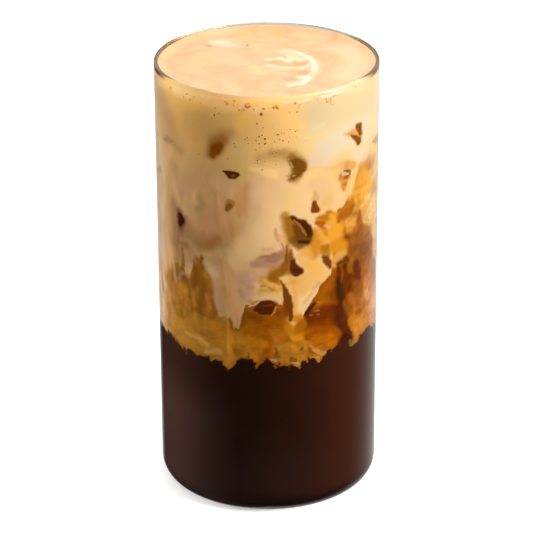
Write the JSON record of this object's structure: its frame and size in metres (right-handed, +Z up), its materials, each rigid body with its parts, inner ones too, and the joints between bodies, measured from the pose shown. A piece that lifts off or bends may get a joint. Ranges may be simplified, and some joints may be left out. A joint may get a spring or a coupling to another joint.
{
  "type": "iced shaken espresso in a glass",
  "caption": "Iced shaken espresso in a tall straight glass: dark coffee below, amber swirls and milk curtains above, foam up to the rim.",
  "frame": {"origin": "middle of the glass's flat underside", "axes": "+Z up along the glass, -Y towards the viewer (the side with the amber window on its right), +X to the viewer's right"},
  "size_m": [0.072, 0.072, 0.146],
  "materials": {
    "glass": "clear polished glass",
    "coffee": "black coffee behind glass",
    "latte": "amber mix of coffee and milk",
    "milk": "cream-coloured milk coffee",
    "foam": "fine wet coffee foam"
  },
  "bodies": {
    "root": {"glass": "glass", "coffee": "coffee", "latte": "latte", "milk": "milk", "foam": "foam"}
  },
  "joints": []
}
